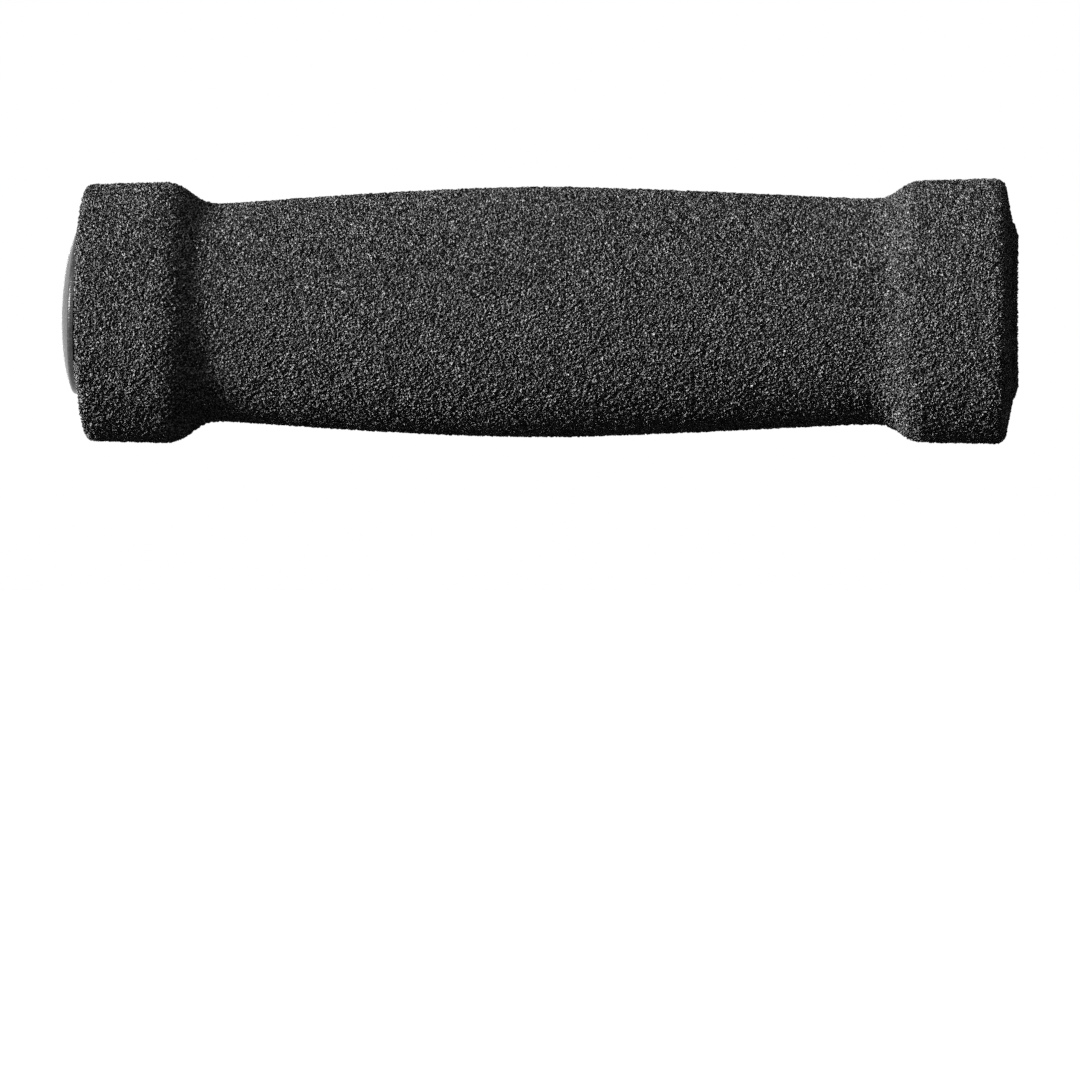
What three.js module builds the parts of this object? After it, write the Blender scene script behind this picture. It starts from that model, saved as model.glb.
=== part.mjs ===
// Bicycle handlebar grip: a moulded foam sleeve for a 22.2 mm handlebar, and the moulded plug in its outboard end.
// Millimetres. +X runs along the bore from the outboard end to the inboard end, and +Z is up.
// The origin is on the bore's axis, in the plane of the sleeve's outboard end.

import * as THREE from 'three';

// Sleeve, lengths along the bore.
const SLEEVE_LENGTH = 130;
const OUTBOARD_FLANGE_WIDTH = 10.7;
const OUTBOARD_SHOULDER_RUN = 8;
const OUTBOARD_NECK_WIDTH = 0.5;
const BELLY_TO_OUTBOARD_END = 64.5;
const INBOARD_NECK_WIDTH = 1.9;
const INBOARD_SHOULDER_RUN = 7;
const INBOARD_FLANGE_WIDTH = 12.8;

// Sleeve, relaxed bore and the thickness of foam over it.
const BORE_RADIUS = 10.25;
const OUTBOARD_END_WALL = 7.68;
const OUTBOARD_SHOULDER_WALL = 7.95;
const OUTBOARD_NECK_WALL = 4.95;
const BELLY_WALL = 7.15;
const INBOARD_NECK_WALL = 5.45;
const INBOARD_SHOULDER_WALL = 7.95;
const INBOARD_END_WALL = 8.17;

// Sleeve, how far the swell stays level as it leaves each neck and on each side of the belly.
const NECK_EASE = 2.8;
const BELLY_EASE_OUTBOARD = 18.5;
const BELLY_EASE_INBOARD = 12.5;

// Sleeve, corners and the dished inboard end: a cone that flares up to a narrow lip round the bore.
const OUTBOARD_CORNER_RADIUS = 1;
const INBOARD_CORNER_RADIUS = 2;
const END_CONE_ANGLE = THREE.MathUtils.degToRad(10.6);
const LIP_WIDTH = 0.65;
const FLARE_WIDTH = 1.4;
const FLARE_HEIGHT = 0.64;

// Plug head, which laps over the sleeve's outboard end.
const HEAD_LAP = 1.5;
const RIM_HEIGHT = 1.15;
const DOME_HEIGHT = 1.62;
const HEAD_CORNER_RADIUS = 0.45;
const HEAD_THICKNESS = 1.8;

// Plug stem, a hollow barrel with ring fins that hold it in the bore.
const STEM_WALL = 1.5;
const STEM_NOSE_LENGTH = 1.8;
const STEM_NOSE_CHAMFER = 0.5;
const FIN_COUNT = 4;
const FIN_HEIGHT = 2.9;
const FIRST_FIN_OFFSET = 2.4;
const FIN_PITCH = 3.4;
const FIN_ROOT_WIDTH = 1.6;
const FIN_TIP_WIDTH = 0.4;
const FIN_RAKE = 0.3;

// Fits between the two pieces. The plug sits slightly cocked and high, with its lower edge standing proud.
const PLUG_TILT = THREE.MathUtils.degToRad(2.1);
const PLUG_RISE = 0.33;
const SEAT_CLEARANCE = 0.1;
const FIN_CLEARANCE = 0.3;
const OPEN_FACE_CLEARANCE = 0.5;

// Fineness of the turned surfaces and of the curves in their outlines.
const SLEEVE_SEGMENTS = 64;
const PLUG_SEGMENTS = 48;
const SWELL_STEPS = 9;
const SHOULDER_STEPS = 8;
const CORNER_STEPS = 4;
const FLARE_STEPS = 3;
const DOME_STEPS = 6;

const headRadius = BORE_RADIUS + HEAD_LAP;

// An outline point: the distance from the axis, then the distance along it.
function at(radius, along) {
  return new THREE.Vector2(radius, along);
}

// A smooth change of radius between two stations, level for the given length at each end.
function blend(start, startEase, end, endEase, steps) {
  const leaving = at(start.x, start.y + startEase);
  const arriving = at(end.x, end.y - endEase);
  return new THREE.CubicBezierCurve(start, leaving, arriving, end).getPoints(steps);
}

function arc(centre, radius, startAngle, endAngle, steps) {
  return new THREE.EllipseCurve(centre.x, centre.y, radius, radius, startAngle, endAngle).getPoints(steps);
}

// Turns an outline round +X.
function turned(outline, segments) {
  return new THREE.LatheGeometry(outline, segments).rotateZ(-Math.PI / 2);
}

// The flat outboard face and its rounded corner. The face has a ring of points just outside the plug's head.
function outboardEnd() {
  const cornerCentre = at(BORE_RADIUS + OUTBOARD_END_WALL - OUTBOARD_CORNER_RADIUS, OUTBOARD_CORNER_RADIUS);
  return [
    at(BORE_RADIUS, 0),
    at(headRadius + OPEN_FACE_CLEARANCE, 0),
    ...arc(cornerCentre, OUTBOARD_CORNER_RADIUS, -Math.PI / 2, 0, CORNER_STEPS),
  ];
}

// From the outboard flange's shoulder over the neck, the belly and the other neck to the inboard flange's shoulder.
function handSide() {
  const outboardShoulder = at(BORE_RADIUS + OUTBOARD_SHOULDER_WALL, OUTBOARD_FLANGE_WIDTH);
  const outboardNeckFoot = at(BORE_RADIUS + OUTBOARD_NECK_WALL, OUTBOARD_FLANGE_WIDTH + OUTBOARD_SHOULDER_RUN);
  const outboardNeck = at(outboardNeckFoot.x, outboardNeckFoot.y + OUTBOARD_NECK_WIDTH);
  const belly = at(BORE_RADIUS + BELLY_WALL, BELLY_TO_OUTBOARD_END);
  const inboardShoulder = at(BORE_RADIUS + INBOARD_SHOULDER_WALL, SLEEVE_LENGTH - INBOARD_FLANGE_WIDTH);
  const inboardNeckFoot = at(BORE_RADIUS + INBOARD_NECK_WALL, inboardShoulder.y - INBOARD_SHOULDER_RUN);
  const inboardNeck = at(inboardNeckFoot.x, inboardNeckFoot.y - INBOARD_NECK_WIDTH);
  const outboardEase = OUTBOARD_SHOULDER_RUN / 2;
  const inboardEase = INBOARD_SHOULDER_RUN / 2;
  return [
    ...blend(outboardShoulder, outboardEase, outboardNeckFoot, outboardEase, SHOULDER_STEPS),
    ...blend(outboardNeck, NECK_EASE, belly, BELLY_EASE_OUTBOARD, SWELL_STEPS),
    ...blend(belly, BELLY_EASE_INBOARD, inboardNeck, NECK_EASE, SWELL_STEPS).slice(1),
    ...blend(inboardNeckFoot, inboardEase, inboardShoulder, inboardEase, SHOULDER_STEPS),
  ];
}

// The inboard flange's rounded corner, the shallow cone inside it, and the flare up to the lip.
function inboardEnd() {
  const lip = at(BORE_RADIUS + LIP_WIDTH, SLEEVE_LENGTH);
  const flareFoot = at(lip.x + FLARE_WIDTH, SLEEVE_LENGTH - FLARE_HEIGHT);
  const cornerRadial = BORE_RADIUS + INBOARD_END_WALL - INBOARD_CORNER_RADIUS;
  const cornerEnd = cornerRadial + INBOARD_CORNER_RADIUS * Math.sin(END_CONE_ANGLE);
  const coneDrop = (cornerEnd - flareFoot.x) * Math.tan(END_CONE_ANGLE);
  const cornerAlong = flareFoot.y - coneDrop - INBOARD_CORNER_RADIUS * Math.cos(END_CONE_ANGLE);
  const coneTurn = Math.PI / 2 - END_CONE_ANGLE;
  const bend = at(lip.x + FLARE_WIDTH / 2, flareFoot.y + FLARE_WIDTH / 2 * Math.tan(END_CONE_ANGLE));
  return [
    ...arc(at(cornerRadial, cornerAlong), INBOARD_CORNER_RADIUS, 0, coneTurn, CORNER_STEPS),
    ...new THREE.QuadraticBezierCurve(flareFoot, bend, lip).getPoints(FLARE_STEPS),
    at(BORE_RADIUS, SLEEVE_LENGTH),
  ];
}

function foamSleeve() {
  const start = at(BORE_RADIUS, 0);
  const outline = [...outboardEnd(), ...handSide(), ...inboardEnd(), start];
  const foam = new THREE.MeshStandardMaterial({ color: 0x3a3a3b, roughness: 0.95, metalness: 0 });
  const mesh = new THREE.Mesh(turned(outline, SLEEVE_SEGMENTS), foam);
  mesh.name = 'foam_sleeve';
  return mesh;
}

// The plug's domed head, from its crown on the axis to the edge of its flat underside at 0.
function headOutline() {
  const domeRadius = (headRadius ** 2 + DOME_HEIGHT ** 2) / (2 * DOME_HEIGHT);
  const crown = -RIM_HEIGHT - DOME_HEIGHT;
  const domeCentre = crown + domeRadius;
  const cornerRadial = headRadius - HEAD_CORNER_RADIUS;
  const domeTurn = Math.asin(cornerRadial / (domeRadius - HEAD_CORNER_RADIUS));
  const cornerAlong = domeCentre - (domeRadius - HEAD_CORNER_RADIUS) * Math.cos(domeTurn);
  const cornerStart = domeTurn - Math.PI / 2;
  return [
    ...arc(at(0, domeCentre), domeRadius, -Math.PI / 2, cornerStart, DOME_STEPS),
    ...arc(at(cornerRadial, cornerAlong), HEAD_CORNER_RADIUS, cornerStart, 0, CORNER_STEPS).slice(1),
    at(headRadius, 0),
  ];
}

// One ring fin, raked away from the head. Fins further down the cocked stem are smaller, so that all clear the bore.
function finOutline(index, stemRadius) {
  const root = FIRST_FIN_OFFSET + index * FIN_PITCH;
  const tipEnd = root + FIN_RAKE + FIN_TIP_WIDTH;
  const tipRadius = BORE_RADIUS - FIN_CLEARANCE - tipEnd * Math.sin(PLUG_TILT);
  return [
    at(stemRadius, root),
    at(tipRadius, root + FIN_RAKE),
    at(tipRadius, tipEnd),
    at(stemRadius, root + FIN_ROOT_WIDTH),
  ];
}

// The hollow stem, from the head's underside to the open nose and back inside to the axis.
function stemOutline() {
  const stemRadius = BORE_RADIUS - FIN_CLEARANCE - FIN_HEIGHT;
  const cavityRadius = stemRadius - STEM_WALL;
  const cavityFloor = HEAD_THICKNESS - RIM_HEIGHT - DOME_HEIGHT;
  const noseStart = FIRST_FIN_OFFSET + (FIN_COUNT - 1) * FIN_PITCH + FIN_ROOT_WIDTH;
  const noseEnd = noseStart + STEM_NOSE_LENGTH;
  const outline = [at(stemRadius, 0)];
  for (let index = 0; index < FIN_COUNT; index += 1) {
    outline.push(...finOutline(index, stemRadius));
  }
  outline.push(
    at(stemRadius, noseEnd - STEM_NOSE_CHAMFER),
    at(stemRadius - STEM_NOSE_CHAMFER, noseEnd),
    at(cavityRadius, noseEnd),
    at(cavityRadius, cavityFloor),
    at(0, cavityFloor),
  );
  return outline;
}

// The plug turns about its head's centre, so its seat height keeps the upper edge of the head just off the foam.
function endPlug() {
  const plastic = new THREE.MeshStandardMaterial({ color: 0x454546, roughness: 0.45, metalness: 0 });
  const mesh = new THREE.Mesh(turned([...headOutline(), ...stemOutline()], PLUG_SEGMENTS), plastic);
  mesh.name = 'end_plug';
  const cocked = new THREE.Group();
  cocked.rotation.y = PLUG_TILT;
  cocked.position.set(-SEAT_CLEARANCE - headRadius * Math.sin(PLUG_TILT), 0, PLUG_RISE);
  cocked.add(mesh);
  return cocked;
}

const group = new THREE.Group();
group.add(foamSleeve(), endPlug());

export default group;
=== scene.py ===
"""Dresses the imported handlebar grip: its foam sleeve and the plug in its outboard end.

Metres, in the frame of the CAD: X runs along the bore from the outboard end, and Z is up.
"""

import math

import bpy
import numpy as np
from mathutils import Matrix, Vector


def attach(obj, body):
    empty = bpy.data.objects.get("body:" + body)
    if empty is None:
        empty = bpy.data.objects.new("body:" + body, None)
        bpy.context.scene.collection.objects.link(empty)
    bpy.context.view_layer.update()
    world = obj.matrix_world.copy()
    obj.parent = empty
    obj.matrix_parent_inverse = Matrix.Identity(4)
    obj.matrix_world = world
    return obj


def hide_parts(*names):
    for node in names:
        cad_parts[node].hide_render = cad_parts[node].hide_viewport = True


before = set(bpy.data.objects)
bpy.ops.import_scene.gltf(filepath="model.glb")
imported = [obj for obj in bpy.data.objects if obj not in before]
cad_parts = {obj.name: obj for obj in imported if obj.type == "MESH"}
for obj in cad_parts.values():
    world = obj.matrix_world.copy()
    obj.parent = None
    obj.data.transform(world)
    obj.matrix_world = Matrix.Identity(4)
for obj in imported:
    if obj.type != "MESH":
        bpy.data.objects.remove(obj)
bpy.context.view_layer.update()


# The camera stands level in front of the grip, a little to its inboard side, far back behind a long lens.
# It stands a little below the grip, which so hangs in the upper part of the picture.
CAMERA_AZIMUTH = math.radians(3.2)
CAMERA_DISTANCE = 1.19
CAMERA_AIM = Vector((0.0635, 0.0, -0.03183))
CAMERA_LENS = 284.1
CAMERA_CLIP_START = 0.01
CAMERA_BACK = Vector((math.sin(CAMERA_AZIMUTH), -math.cos(CAMERA_AZIMUTH), 0.0))

bpy.ops.object.camera_add(
    location=CAMERA_AIM + CAMERA_BACK * CAMERA_DISTANCE,
    rotation=(math.pi / 2, 0.0, CAMERA_AZIMUTH),
)
camera = bpy.context.object
camera.name = "camera"
camera.data.lens = CAMERA_LENS
camera.data.clip_start = CAMERA_CLIP_START
bpy.context.scene.camera = camera


# The sleeve is one moulding of black closed-cell foam, with a flange at each end, a neck inside each
# flange and a swelling barrel for the hand. Its skin is ground off, so its surface is open, grainy cells.
# It is pushed over the end of the handlebar, and the stretch of its bore holds it there.
MM = 0.001
SLEEVE_LENGTH = 130 * MM
BORE_RADIUS = 10.25 * MM

# Places along the bore, measured from the outboard end.
OUTBOARD_SHOULDER = 10.7 * MM
OUTBOARD_NECK_FOOT = 18.7 * MM
OUTBOARD_NECK = 19.2 * MM
BELLY = 64.5 * MM
INBOARD_NECK = 108.3 * MM
INBOARD_NECK_FOOT = 110.2 * MM
INBOARD_SHOULDER = 117.2 * MM
INBOARD_CORNER = 126.965 * MM
FLARE_FOOT = 129.36 * MM

# Radii at those places.
OUTBOARD_END_RADIUS = 17.93 * MM
FLANGE_RADIUS = 18.2 * MM
OUTBOARD_NECK_RADIUS = 15.2 * MM
BELLY_RADIUS = 17.4 * MM
INBOARD_NECK_RADIUS = 15.7 * MM
INBOARD_END_RADIUS = 18.42 * MM
FLARE_FOOT_RADIUS = 12.3 * MM
LIP_RADIUS = 10.9 * MM

# Corners, the dished end's slope, and how far the outline stays level as it leaves each place.
OUTBOARD_CORNER_RADIUS = 1 * MM
INBOARD_CORNER_RADIUS = 1.5 * MM
END_CONE_DEGREES = 10.6
OUTBOARD_SHOULDER_EASE = 4 * MM
NECK_EASE = 2.8 * MM
BELLY_EASE_OUTBOARD = 18.5 * MM
BELLY_EASE_INBOARD = 12.5 * MM
INBOARD_SHOULDER_EASE = 3.5 * MM
FLARE_EASE = 0.3 * MM
LIP_EASE = 0.1 * MM

# The grain. The skin is drawn in, so that its tallest grains and lumps come up to the real outline.
# The bore is grained only at its inboard mouth. What stands further out than its margin is the outside.
SLEEVE_TURNS = 530
GRAIN_PITCH = 0.21 * MM
GRAIN_DEPTH = 0.27 * MM
GRAIN_SEED = 7
SKIN_DRAW_IN = 0.13 * MM
LUMP_SIZE = 0.7 * MM
LUMP_HEIGHT = 0.22 * MM
BORE_MOUTH = 12 * MM
BORE_PITCH = 1.3 * MM
BORE_MARGIN = 0.3 * MM
MERGE_GAP = 0.001 * MM
UV_BORDER = 0.01

# The pores in the grain. The tones run from the middle of a pore out to the walls between pores: the
# near-black pore middles are painted shade in the pits, and the pale walls are painted highlights where the
# cell walls catch the light, over the foam's own black.
PORE_SIZE = 0.2 * MM
PORE_DEPTH = 1.0 * MM
FOAM_ROUGHNESS = 0.85
FOAM_GLOSS = 0.04
FOAM_PORE_SHADE_AND_WALL_HIGHLIGHT_TONES = (
    (0.265, (0.002, 0.002, 0.002)),
    (0.415, (0.014, 0.01386, 0.013916)),
    (0.515, (0.125, 0.12375, 0.12425)),
    (0.71, (0.8, 0.792, 0.795)),
)


def smooth_run(start, start_ease, end, end_ease, steps=60):
    """Points of a smooth change of radius between two (along, radius) places, level at both ends."""
    (x0, r0), (x3, r3) = start, end
    x1, x2 = x0 + start_ease, x3 - end_ease
    points = []
    for step in range(steps + 1):
        t = step / steps
        s = 1 - t
        along = s**3 * x0 + 3 * s * s * t * x1 + 3 * s * t * t * x2 + t**3 * x3
        radius = s**3 * r0 + 3 * s * s * t * r0 + 3 * s * t * t * r3 + t**3 * r3
        points.append((along, radius))
    return points


def round_corner(centre, radius, from_degrees, to_degrees, steps=16):
    """Points of an arc. Its angle is 0 straight out from the axis and 90 towards the inboard end."""
    points = []
    for step in range(steps + 1):
        turn = math.radians(from_degrees + (to_degrees - from_degrees) * step / steps)
        points.append((centre[0] + radius * math.sin(turn), centre[1] + radius * math.cos(turn)))
    return points


def evenly(points, pitch):
    """The same line with a point at about every pitch along it, and its two ends kept."""
    line = np.array(points)
    reach = np.concatenate([[0.0], np.cumsum(np.hypot(*np.diff(line, axis=0).T))])
    count = max(2, round(reach[-1] / pitch) + 1)
    wanted = np.linspace(0.0, reach[-1], count)
    return list(zip(np.interp(wanted, reach, line[:, 0]), np.interp(wanted, reach, line[:, 1])))


def draw_outline(name, points):
    """A new mesh object with one chain of points, drawn by extruding a single vertex."""
    bpy.ops.object.select_all(action="DESELECT")
    bpy.ops.mesh.primitive_plane_add(size=MM, calc_uvs=False)
    bpy.context.object.name = name
    bpy.ops.object.mode_set(mode="EDIT")
    bpy.ops.mesh.merge(type="CENTER")
    bpy.ops.transform.translate(value=(points[0][0], 0.0, points[0][1]))
    for (x0, r0), (x1, r1) in zip(points, points[1:]):
        bpy.ops.mesh.extrude_region_move(TRANSFORM_OT_translate={"value": (x1 - x0, 0.0, r1 - r0)})
    bpy.ops.object.mode_set(mode="OBJECT")
    return bpy.context.object


def turn_outline(piece, turns):
    """Turns the chain once round the axis into a closed skin, with its faces outwards."""
    bpy.ops.object.modifier_add(type="SCREW")
    turning = piece.modifiers[-1]
    turning.axis = "X"
    turning.steps = turning.render_steps = turns
    bpy.ops.object.modifier_apply(modifier=turning.name)
    unroll(piece, turns)
    bpy.ops.object.mode_set(mode="EDIT")
    bpy.ops.mesh.select_all(action="SELECT")
    bpy.ops.mesh.remove_doubles(threshold=MERGE_GAP)
    bpy.ops.mesh.normals_make_consistent(inside=False)
    bpy.ops.object.mode_set(mode="OBJECT")
    bpy.ops.object.shade_smooth()
    return piece


def vertex_places(mesh):
    """The places of a mesh's vertices, one row for each."""
    places = np.empty(len(mesh.vertices) * 3, np.float32)
    mesh.vertices.foreach_get("co", places)
    return places.reshape(-1, 3)


def unroll(piece, turns):
    """Lays the turned skin out flat in a UV map: round the axis across it, and along the outline up it."""
    mesh = piece.data
    count = len(mesh.vertices) // turns
    steps = np.linalg.norm(np.diff(vertex_places(mesh)[:count], axis=0), axis=1)
    along = np.concatenate([[0.0], np.cumsum(steps)])
    corner = np.empty(len(mesh.loops), np.int32)
    mesh.loops.foreach_get("vertex_index", corner)
    ring, station = corner // count, corner % count

    # A face between the last ring and the first one ends at the far edge of the map.
    starts = np.empty(len(mesh.polygons), np.int32)
    mesh.polygons.foreach_get("loop_start", starts)
    sides = np.diff(np.append(starts, len(corner)))
    furthest = np.repeat(np.maximum.reduceat(ring, starts), sides)
    ring = np.where((ring == 0) & (furthest == turns - 1), turns, ring)

    spread = np.stack([ring / turns, along[station] / along[-1]], axis=1)
    spread = spread * (1 - 2 * UV_BORDER) + UV_BORDER
    flat = mesh.uv_layers.new(name="OFBake")
    flat.data.foreach_set("uv", spread.astype(np.float32).ravel())


def select_vertices(piece, chosen):
    """Goes into edit mode with only the chosen vertices selected."""
    mesh = piece.data
    mesh.edges.foreach_set("select", np.zeros(len(mesh.edges), bool))
    mesh.polygons.foreach_set("select", np.zeros(len(mesh.polygons), bool))
    mesh.vertices.foreach_set("select", chosen)
    bpy.ops.object.mode_set(mode="EDIT")
    bpy.context.tool_settings.mesh_select_mode = (True, False, False)


outboard_centre = (OUTBOARD_CORNER_RADIUS, OUTBOARD_END_RADIUS - OUTBOARD_CORNER_RADIUS)
outboard_shoulder = (OUTBOARD_SHOULDER, FLANGE_RADIUS)
outboard_neck_foot = (OUTBOARD_NECK_FOOT, OUTBOARD_NECK_RADIUS)
outboard_neck = (OUTBOARD_NECK, OUTBOARD_NECK_RADIUS)
belly = (BELLY, BELLY_RADIUS)
inboard_neck = (INBOARD_NECK, INBOARD_NECK_RADIUS)
inboard_neck_foot = (INBOARD_NECK_FOOT, INBOARD_NECK_RADIUS)
inboard_shoulder = (INBOARD_SHOULDER, FLANGE_RADIUS)
inboard_centre = (INBOARD_CORNER, INBOARD_END_RADIUS - INBOARD_CORNER_RADIUS)
flare_foot = (FLARE_FOOT, FLARE_FOOT_RADIUS)
lip = (SLEEVE_LENGTH, LIP_RADIUS)

sleeve_outside = (
    [(0.0, BORE_RADIUS)]
    + round_corner(outboard_centre, OUTBOARD_CORNER_RADIUS, -90, 0)
    + smooth_run(outboard_shoulder, OUTBOARD_SHOULDER_EASE, outboard_neck_foot, OUTBOARD_SHOULDER_EASE)
    + smooth_run(outboard_neck, NECK_EASE, belly, BELLY_EASE_OUTBOARD)
    + smooth_run(belly, BELLY_EASE_INBOARD, inboard_neck, NECK_EASE)
    + smooth_run(inboard_neck_foot, INBOARD_SHOULDER_EASE, inboard_shoulder, INBOARD_SHOULDER_EASE)
    + round_corner(inboard_centre, INBOARD_CORNER_RADIUS, 0, 90 - END_CONE_DEGREES)
    + smooth_run(flare_foot, FLARE_EASE, lip, LIP_EASE, steps=6)
    + [(SLEEVE_LENGTH, BORE_RADIUS)]
)
bore_mouth = [(SLEEVE_LENGTH, BORE_RADIUS), (SLEEVE_LENGTH - BORE_MOUTH, BORE_RADIUS)]
bore_depth = [(SLEEVE_LENGTH - BORE_MOUTH, BORE_RADIUS), (0.0, BORE_RADIUS)]
sleeve_outline = (
    evenly(sleeve_outside, GRAIN_PITCH)
    + evenly(bore_mouth, GRAIN_PITCH)[1:]
    + evenly(bore_depth, BORE_PITCH)[1:]
)

sleeve = turn_outline(draw_outline("foam_grip", sleeve_outline), SLEEVE_TURNS)
along, across, up = vertex_places(sleeve.data).T
outside = np.hypot(across, up) > BORE_RADIUS + BORE_MARGIN
grained = outside | (along > SLEEVE_LENGTH - BORE_MOUTH)

bpy.ops.object.modifier_add(type="DISPLACE")
swell = sleeve.modifiers[-1]
swell.texture = bpy.data.textures.new("lumps", "CLOUDS")
swell.texture.noise_scale = LUMP_SIZE
swell.texture_coords = "LOCAL"
swell.strength = LUMP_HEIGHT
bpy.ops.object.modifier_apply(modifier=swell.name)

select_vertices(sleeve, outside)
bpy.ops.transform.shrink_fatten(value=-SKIN_DRAW_IN)
bpy.ops.object.mode_set(mode="OBJECT")
select_vertices(sleeve, grained)
bpy.ops.transform.vertex_random(offset=GRAIN_DEPTH, uniform=0.0, normal=1.0, seed=GRAIN_SEED)
bpy.ops.object.mode_set(mode="OBJECT")
bpy.ops.object.shade_flat()


def grained_material(name, texture, measure, grain_size, grain_and_shade_tones, relief):
    """A surface whose tones and fine relief both follow one grain, laid out in the piece's own space. For
    the foam the tones carry painted shade in the pores and painted highlights on the cell walls.
    """
    material = bpy.data.materials.new(name)
    material.use_nodes = True
    nodes, links = material.node_tree.nodes, material.node_tree.links
    shader = nodes["Principled BSDF"]
    place = nodes.new("ShaderNodeTexCoord")
    grain = nodes.new(texture)
    grain.inputs["Scale"].default_value = 1 / grain_size
    links.new(place.outputs["Object"], grain.inputs["Vector"])

    grain_and_shade_ramp = nodes.new("ShaderNodeValToRGB")
    stops = grain_and_shade_ramp.color_ramp.elements
    stops[0].position = grain_and_shade_tones[0][0]
    stops[1].position = grain_and_shade_tones[-1][0]
    for position, colour in grain_and_shade_tones[1:-1]:
        stops.new(position)
    for stop, (position, colour) in zip(stops, grain_and_shade_tones):
        stop.color = (*colour, 1.0)
    links.new(grain.outputs[measure], grain_and_shade_ramp.inputs["Fac"])
    links.new(grain_and_shade_ramp.outputs["Color"], shader.inputs["Base Color"])

    bump = nodes.new("ShaderNodeBump")
    bump.inputs["Distance"].default_value = relief
    links.new(grain.outputs[measure], bump.inputs["Height"])
    links.new(bump.outputs["Normal"], shader.inputs["Normal"])
    return material, shader, grain, bump


# The foam's colour comes from the pore tones: painted shade in each pore and a painted highlight on the
# walls between pores.
foam, shader, _, _ = grained_material(
    "ground_black_foam", "ShaderNodeTexVoronoi", "Distance", PORE_SIZE, FOAM_PORE_SHADE_AND_WALL_HIGHLIGHT_TONES, PORE_DEPTH
)
shader.inputs["Roughness"].default_value = FOAM_ROUGHNESS
shader.inputs["Specular IOR Level"].default_value = FOAM_GLOSS
sleeve.data.materials.clear()
sleeve.data.materials.append(foam)

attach(sleeve, "root")
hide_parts("foam_sleeve")


# The plug is one moulding of hard black plastic with a fine matt texture. Its domed head laps over the
# sleeve's outboard end, and its hollow stem is pressed into the bar, where raked ring fins hold it.
# It sits slightly cocked, with the lower edge of its head standing proud of the foam.
HEAD_RADIUS = 11.75 * MM
RIM_HEIGHT = 0.68 * MM
DOME_HEIGHT = 1.71 * MM
HEAD_CORNER_RADIUS = 0.6 * MM
HEAD_THICKNESS = 1.8 * MM
PLUG_TILT = math.radians(2.1)
PLUG_RISE = 0.33 * MM
SEAT_CLEARANCE = 0.29 * MM

# The stem and its fins, with lengths measured from the head's underside.
STEM_RADIUS = 7.05 * MM
STEM_LENGTH = 16.0 * MM
STEM_NOSE_CHAMFER = 0.5 * MM
CAVITY_RADIUS = 5.55 * MM
FIN_COUNT = 4
FIRST_FIN_OFFSET = 2.4 * MM
FIN_PITCH = 3.4 * MM
FIN_ROOT_WIDTH = 1.6 * MM
FIN_TIP_WIDTH = 0.4 * MM
FIN_RAKE = 0.3 * MM
FIN_CLEARANCE = 0.3 * MM

# Fineness of the turned head. The dome stops short of the rim, by a share of its corner's radius.
PLUG_TURNS = 192
DOME_STEPS = 31
CORNER_STEPS = 10
DOME_STOP = 0.7
SMOOTH_UP_TO = math.radians(35)

# The moulded texture.
TEXTURE_SIZE = 0.25 * MM
TEXTURE_DEPTH = 0.08 * MM
TEXTURE_STRENGTH = 0.8
TEXTURE_DETAIL = 1.0
PLASTIC_ROUGHNESS = 0.3
PLASTIC_GLOSS = 0.4
PLASTIC_TONES = (
    (0.4, (0.016, 0.016, 0.016)),
    (0.62, (0.065, 0.065, 0.066)),
)

crown = -RIM_HEIGHT - DOME_HEIGHT
edge_slope = 3 * DOME_HEIGHT / HEAD_RADIUS
edge_turn = math.atan(edge_slope)
corner_along = -RIM_HEIGHT + HEAD_CORNER_RADIUS * (1 / math.cos(edge_turn) - edge_slope)
corner_centre = (corner_along, HEAD_RADIUS - HEAD_CORNER_RADIUS)
dome_reach = 1 - DOME_STOP * HEAD_CORNER_RADIUS / HEAD_RADIUS
dome = []
for step in range(DOME_STEPS + 1):
    share = step / DOME_STEPS * dome_reach
    dome.append((crown + DOME_HEIGHT * share**3, HEAD_RADIUS * share))
head_edge = round_corner(
    corner_centre, HEAD_CORNER_RADIUS, -90 + math.degrees(edge_turn), 0, steps=CORNER_STEPS
)
plug_outline = dome + head_edge + [(0.0, HEAD_RADIUS), (0.0, STEM_RADIUS)]

# Fins further down the cocked stem are smaller, so that all clear the bore.
for fin in range(FIN_COUNT):
    root = FIRST_FIN_OFFSET + fin * FIN_PITCH
    tip_end = root + FIN_RAKE + FIN_TIP_WIDTH
    tip_radius = BORE_RADIUS - FIN_CLEARANCE - tip_end * math.sin(PLUG_TILT)
    plug_outline += [
        (root, STEM_RADIUS),
        (root + FIN_RAKE, tip_radius),
        (tip_end, tip_radius),
        (root + FIN_ROOT_WIDTH, STEM_RADIUS),
    ]
cavity_floor = crown + HEAD_THICKNESS
plug_outline += [
    (STEM_LENGTH - STEM_NOSE_CHAMFER, STEM_RADIUS),
    (STEM_LENGTH, STEM_RADIUS - STEM_NOSE_CHAMFER),
    (STEM_LENGTH, CAVITY_RADIUS),
    (cavity_floor, CAVITY_RADIUS),
    (cavity_floor, 0.0),
]

# The plug turns about its head's centre, so its seat keeps the upper edge of the head just off the foam.
plug = turn_outline(draw_outline("bar_end_plug", plug_outline), PLUG_TURNS)
seat = -SEAT_CLEARANCE - HEAD_RADIUS * math.sin(PLUG_TILT)
bpy.ops.object.mode_set(mode="EDIT")
bpy.ops.mesh.select_all(action="SELECT")
bpy.ops.transform.rotate(value=-PLUG_TILT, orient_axis="Y", center_override=(0, 0, 0))
bpy.ops.transform.translate(value=(seat, 0.0, PLUG_RISE))
bpy.ops.object.mode_set(mode="OBJECT")
bpy.ops.object.shade_smooth_by_angle(angle=SMOOTH_UP_TO)

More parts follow.
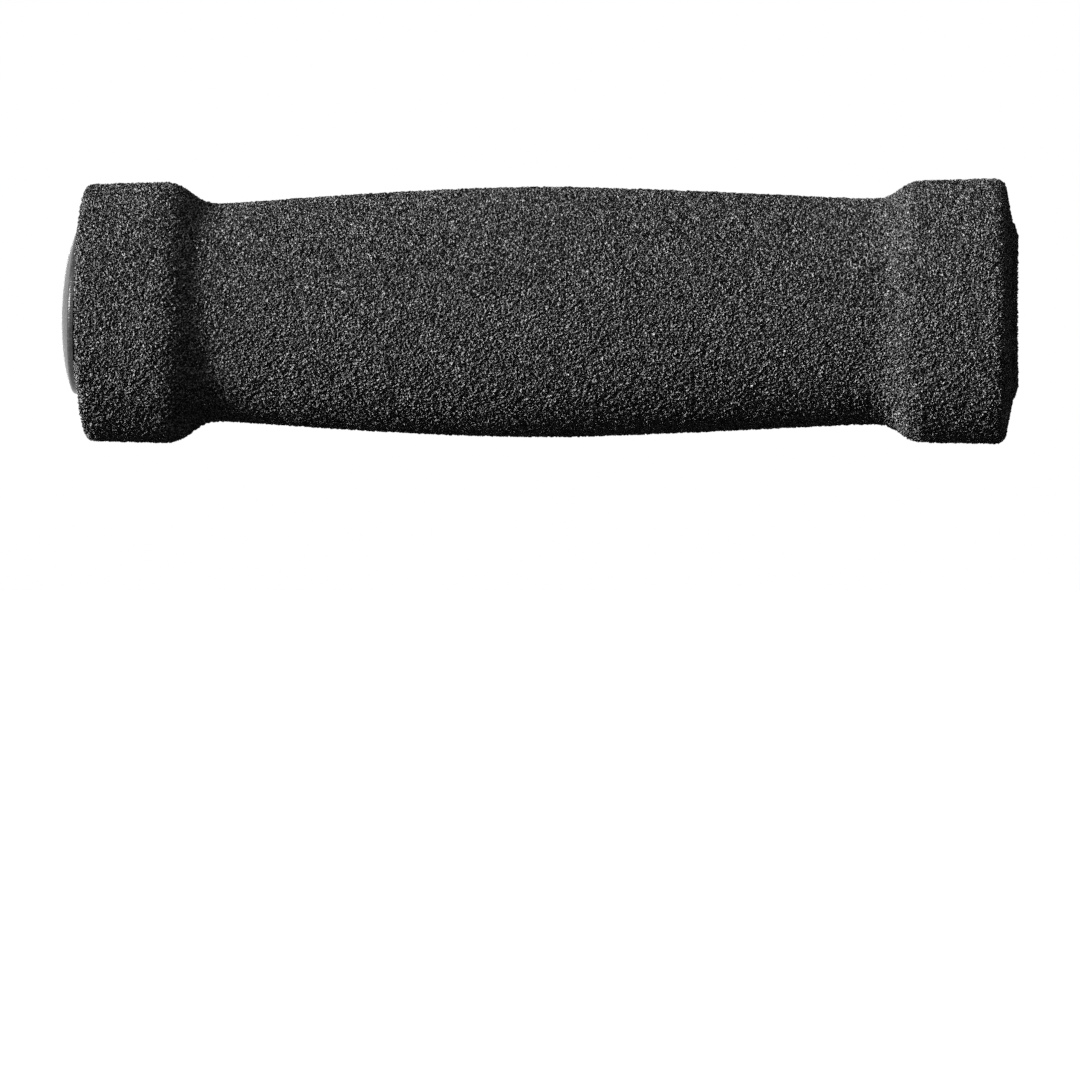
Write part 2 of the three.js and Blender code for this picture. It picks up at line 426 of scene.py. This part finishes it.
plastic, shader, texture, bump = grained_material(
    "matt_black_plastic", "ShaderNodeTexNoise", "Fac", TEXTURE_SIZE, PLASTIC_TONES, TEXTURE_DEPTH
)
texture.inputs["Detail"].default_value = TEXTURE_DETAIL
bump.inputs["Strength"].default_value = TEXTURE_STRENGTH
shader.inputs["Roughness"].default_value = PLASTIC_ROUGHNESS
shader.inputs["Specular IOR Level"].default_value = PLASTIC_GLOSS
plug.data.materials.clear()
plug.data.materials.append(plastic)

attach(plug, "root")
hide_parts("end_plug")


# The studio is a white floor that runs back under a white surround. A soft lamp at the upper left gives
# most of the light, and weaker lamps in front, below and behind lift the shadows. The grip hangs above
# the floor, clear of its own shadow. Floor and surround look white but throw only little light back.
FLOOR_SIZE = 30.0
FLOOR_HEIGHT = -0.13
FLOOR_WHITE = (0.9, 0.9, 0.9, 1.0)
FLOOR_DULL = (0.05, 0.05, 0.05, 1.0)
FLOOR_GLOW = 0.6
SURROUND_WHITE = (1.0, 1.0, 1.0, 1.0)
SURROUND_FILL = 0.07

# Each lamp's name, the direction that it shines from, its strength, and its width in degrees.
LAMPS = (
    ("soft_lamp", (-1.6, -1.0, 0.45), 5.5, 14),
    ("front_lamp", (-0.3, -0.8, 0.45), 0.4, 14),
    ("low_lamp", (-1.2, -1.0, -0.5), 0.5, 30),
    ("back_lamp", (0.1, 1.0, 0.15), 2.2, 40),
)


def looked_at(nodes, links):
    """1 where the camera, a gloss or a clear body looks at this surface, and 0 for light that it throws."""
    rays = nodes.new("ShaderNodeLightPath")
    seen = rays.outputs["Is Camera Ray"]
    for kind in ("Is Glossy Ray", "Is Transmission Ray"):
        either = nodes.new("ShaderNodeMath")
        either.operation = "MAXIMUM"
        links.new(seen, either.inputs[0])
        links.new(rays.outputs[kind], either.inputs[1])
        seen = either.outputs[0]
    return seen


bpy.ops.mesh.primitive_plane_add(size=FLOOR_SIZE, location=(CAMERA_AIM.x, 0.0, FLOOR_HEIGHT))
floor = bpy.context.object
floor.name = "floor"
paper = bpy.data.materials.new("white_paper")
paper.use_nodes = True
nodes, links = paper.node_tree.nodes, paper.node_tree.links
shader = nodes["Principled BSDF"]
shader.inputs["Roughness"].default_value = 1.0
shader.inputs["Specular IOR Level"].default_value = 0.0
seen = looked_at(nodes, links)
tint = nodes.new("ShaderNodeMix")
tint.data_type = "RGBA"
tint.inputs["A"].default_value = FLOOR_DULL
tint.inputs["B"].default_value = FLOOR_WHITE
links.new(seen, tint.inputs["Factor"])
links.new(tint.outputs["Result"], shader.inputs["Base Color"])
lift = nodes.new("ShaderNodeMath")
lift.operation = "MULTIPLY"
lift.inputs[1].default_value = FLOOR_GLOW
links.new(seen, lift.inputs[0])
links.new(lift.outputs[0], shader.inputs["Emission Strength"])
floor.data.materials.append(paper)

for name, source, energy, spread in LAMPS:
    facing = Vector(source).to_track_quat("Z", "Y").to_euler()
    bpy.ops.object.light_add(type="SUN", rotation=facing)
    lamp = bpy.context.object
    lamp.name = name
    lamp.data.energy = energy
    lamp.data.angle = math.radians(spread)

world = bpy.data.worlds.new("white_surround")
bpy.context.scene.world = world
world.use_nodes = True
nodes, links = world.node_tree.nodes, world.node_tree.links
background = nodes["Background"]
background.inputs["Color"].default_value = SURROUND_WHITE
strength = nodes.new("ShaderNodeMapRange")
strength.inputs["To Min"].default_value = SURROUND_FILL
strength.inputs["To Max"].default_value = 1.0
links.new(looked_at(nodes, links), strength.inputs["Value"])
links.new(strength.outputs["Result"], background.inputs["Strength"])

bpy.context.scene.view_settings.view_transform = "Standard"
